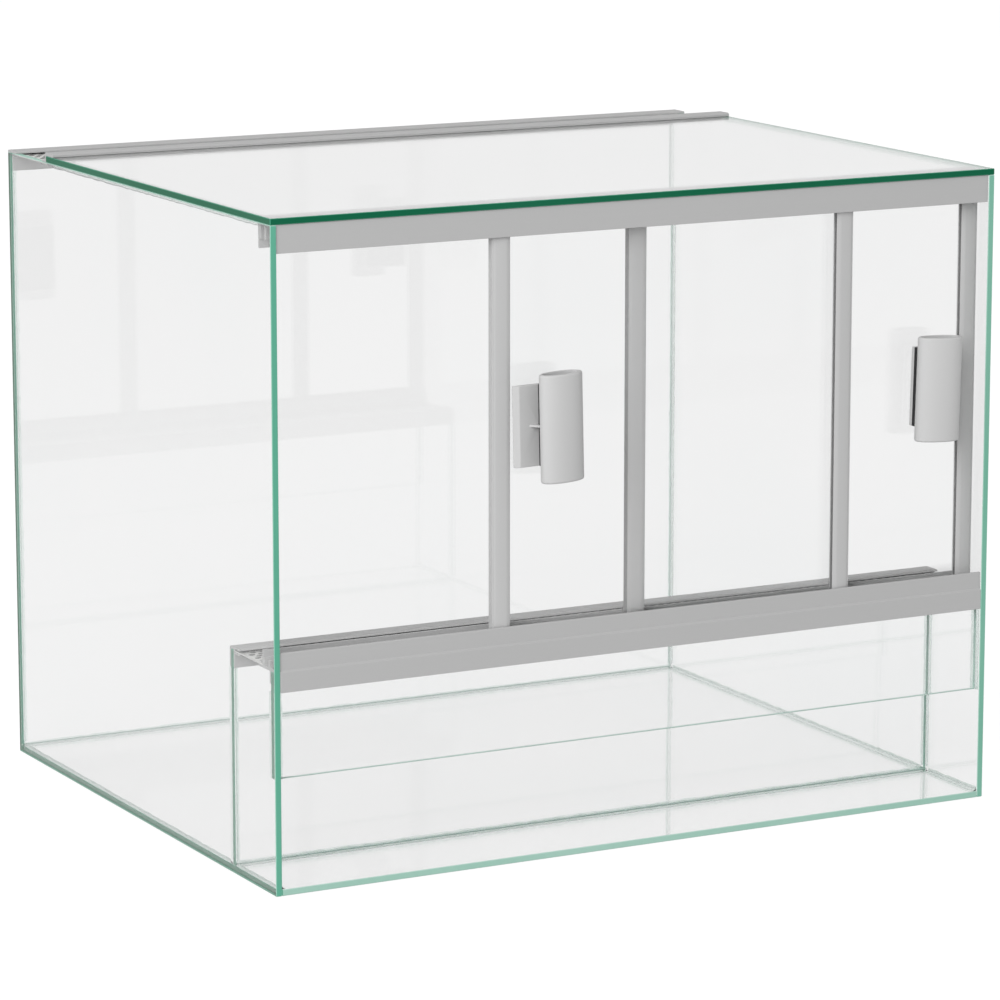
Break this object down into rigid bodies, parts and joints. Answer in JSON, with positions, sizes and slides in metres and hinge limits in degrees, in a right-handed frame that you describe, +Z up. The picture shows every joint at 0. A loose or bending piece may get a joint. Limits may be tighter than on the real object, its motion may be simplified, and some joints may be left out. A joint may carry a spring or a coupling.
{
  "type": "terrarium cabinet",
  "caption": "Frameless glass terrarium cabinet with sliding front doors on grey rails, oval pull handles, a recessed lower front pane, and perforated vents behind the track and at the top rear.",
  "frame": {"origin": "centre of the glass footprint, on the surface that the cabinet stands on", "axes": "+X to the right and +Y to the back as seen from the doors, +Z up"},
  "size_m": [0.5, 0.4202, 0.4075],
  "materials": {
    "float_glass": "clear float glass, green at its ground edges",
    "rail_plastic": "satin grey extrusion",
    "vent_metal": "bright perforated sheet",
    "handle_plastic": "satin light grey",
    "dark_foam": "matt dark grey",
    "silicone": "clear silicone seam"
  },
  "bodies": {
    "cabinet": {"side_pane_left": "float_glass", "side_pane_right": "float_glass", "bottom_pane": "float_glass", "back_pane": "float_glass", "top_pane": "float_glass", "lower_front_pane": "float_glass", "front_strip_pane": "float_glass", "upper_door_rail": "rail_plastic", "lower_door_rail": "rail_plastic", "lower_vent_clip": "rail_plastic", "lower_vent_plate": "vent_metal", "rear_vent_clip": "rail_plastic", "rear_vent_plate": "vent_metal", "rear_vent_channel": "rail_plastic", "silicone_floor_front": "silicone", "silicone_floor_back": "silicone", "silicone_floor_left": "silicone", "silicone_floor_right": "silicone", "silicone_bay_back": "silicone", "silicone_bay_left": "silicone", "silicone_bay_right": "silicone", "silicone_back_left": "silicone", "silicone_back_right": "silicone", "silicone_lower_pane_left_front": "silicone", "silicone_lower_pane_right_front": "silicone", "silicone_lower_pane_left_rear": "silicone", "silicone_lower_pane_right_rear": "silicone", "silicone_strip_left_front": "silicone", "silicone_strip_right_front": "silicone", "silicone_strip_left_rear": "silicone", "silicone_strip_right_rear": "silicone", "silicone_top_left": "silicone", "silicone_top_right": "silicone", "strip_bedding": "silicone"},
    "left_door": {"left_door_glass": "float_glass", "left_door_left_edge": "rail_plastic", "left_door_right_edge": "rail_plastic", "left_door_handle_pad": "dark_foam", "left_door_handle_base": "handle_plastic", "left_door_handle_spacer": "dark_foam", "left_door_handle_grip": "handle_plastic"},
    "right_door": {"right_door_glass": "float_glass", "right_door_left_edge": "rail_plastic", "right_door_right_edge": "rail_plastic", "right_door_handle_pad": "dark_foam", "right_door_handle_base": "handle_plastic", "right_door_handle_spacer": "dark_foam", "right_door_handle_grip": "handle_plastic"}
  },
  "joints": [
    {"name": "left_door_slide", "type": "slide", "parent": "cabinet", "child": "left_door", "axis": [1, 0, 0], "range_m": [-0.1425, 0]},
    {"name": "right_door_slide", "type": "slide", "parent": "cabinet", "child": "right_door", "axis": [1, 0, 0], "range_m": [-0.047, 0]}
  ]
}
